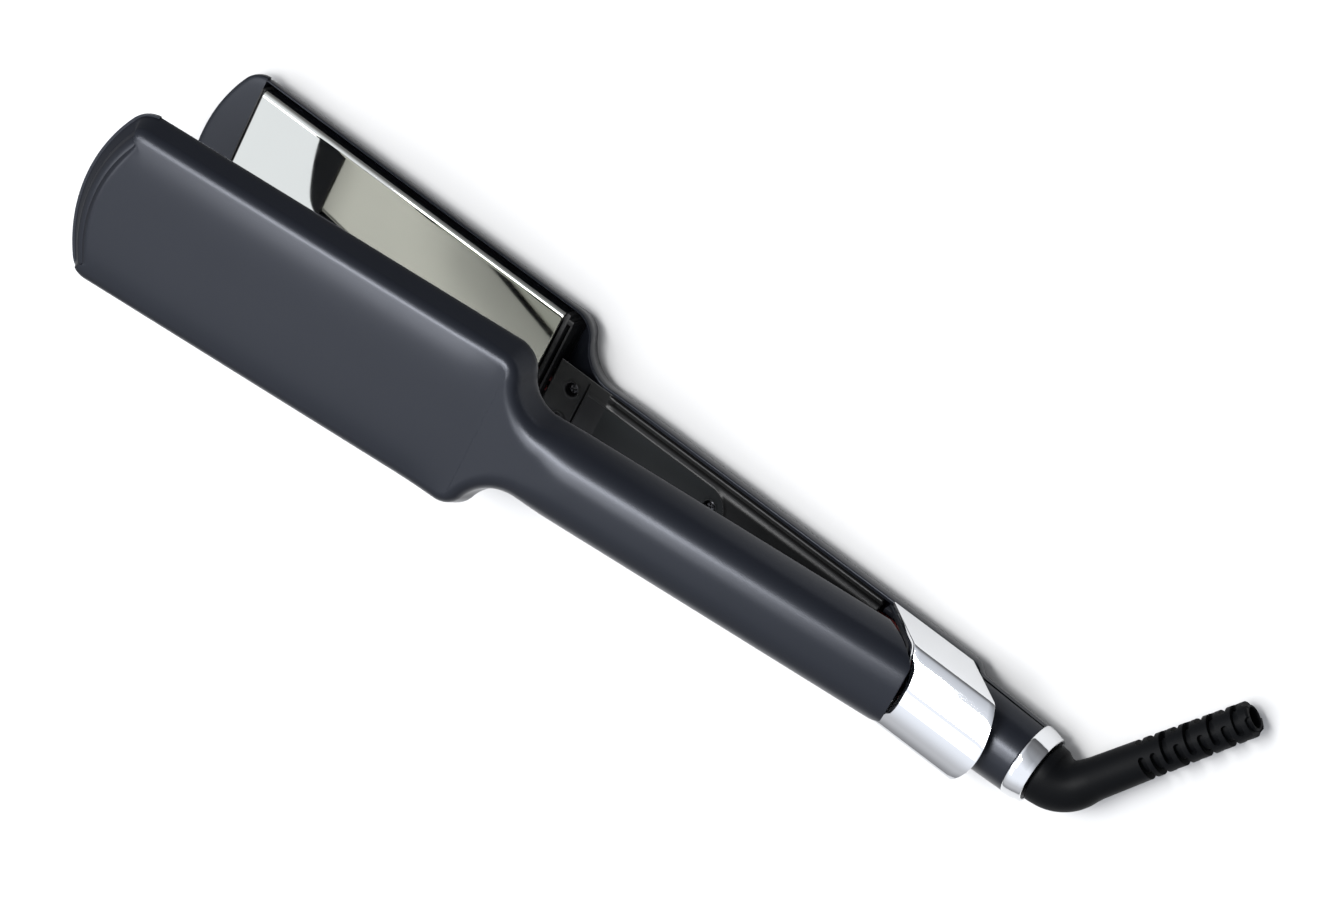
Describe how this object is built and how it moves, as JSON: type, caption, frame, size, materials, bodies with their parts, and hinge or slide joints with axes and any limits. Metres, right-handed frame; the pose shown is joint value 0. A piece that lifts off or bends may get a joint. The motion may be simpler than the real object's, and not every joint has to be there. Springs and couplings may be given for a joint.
{
  "type": "hair straightener",
  "caption": "Wide-plate hair styling tong with two sprung arms, smooth heated plates, hinge cover, tail collar and turning slotted cord boot; cord not included.",
  "frame": {"origin": "on the flat back of the lower arm, under the middle of its heated plate", "axes": "+X along the tool towards the cord end, +Y across its width, +Z from the lower arm's back towards the upper arm"},
  "size_m": [0.3734, 0.0823, 0.0848],
  "materials": {
    "satin_black": "satin moulded black",
    "liner_black": "fine matte black",
    "heat_black": "matte heat-resistant black",
    "plate_mirror": "polished plate",
    "chrome": "bright plated",
    "steel": "plain steel",
    "brass": "plain brass",
    "ceramic": "unglazed ceramic",
    "rubber": "soft matte rubber",
    "lead_red": "silicone sleeve",
    "board_green": "coated board",
    "clear": "clear moulded"
  },
  "bodies": {
    "base": {"lower_shell": "satin_black", "lower_liner": "liner_black", "lower_plate_holder": "heat_black", "lower_plate": "plate_mirror", "lower_heater": "ceramic", "lower_heater_spring": "steel", "lower_thermistor": "brass", "lower_screws": "steel", "lower_leads": "lead_red", "hinge_frame": "steel", "hinge_pin": "steel", "opening_spring": "steel", "tail_cover": "satin_black", "hinge_cover": "chrome", "tail_collar": "chrome", "swivel_bush": "heat_black", "contact_brushes": "brass"},
    "upper_arm": {"upper_shell": "satin_black", "upper_liner": "liner_black", "upper_plate_holder": "heat_black", "upper_plate": "plate_mirror", "upper_heater": "ceramic", "upper_heater_spring": "steel", "thermal_fuse": "brass", "upper_screws": "steel", "upper_leads": "lead_red", "hinge_arm": "steel", "hinge_bushes": "brass", "circuit_board": "board_green", "button_switches": "steel", "light_pipe": "clear"},
    "power_button": {"power_button": "liner_black"},
    "plus_button": {"plus_button": "liner_black"},
    "minus_button": {"minus_button": "liner_black"},
    "cord_swivel": {"cord_boot": "rubber", "swivel_core": "heat_black", "contact_rings": "brass"}
  },
  "joints": [
    {"name": "jaw_hinge", "type": "hinge", "parent": "base", "child": "upper_arm", "pos_m": [0.22486, 0, 0.013], "axis": [0, -1, 0], "range_deg": [0, 11.6], "stiffness_Nm_per_rad": 1.5, "springref_deg": -22.92, "deforming": ["opening_spring"]},
    {"name": "cord_turn", "type": "hinge", "parent": "base", "child": "cord_swivel", "pos_m": [0.25, 0, 0.0128], "axis": [1, 0, 0], "continuous": true},
    {"name": "power_button_press", "type": "slide", "parent": "upper_arm", "child": "power_button", "axis": [0.2011, 0, 0.9796], "range_m": [0, 0.0004], "stiffness_N_per_m": 800},
    {"name": "plus_button_press", "type": "slide", "parent": "upper_arm", "child": "plus_button", "axis": [0.2011, 0, 0.9796], "range_m": [0, 0.0004], "stiffness_N_per_m": 800},
    {"name": "minus_button_press", "type": "slide", "parent": "upper_arm", "child": "minus_button", "axis": [0.2011, 0, 0.9796], "range_m": [0, 0.0004], "stiffness_N_per_m": 800}
  ]
}
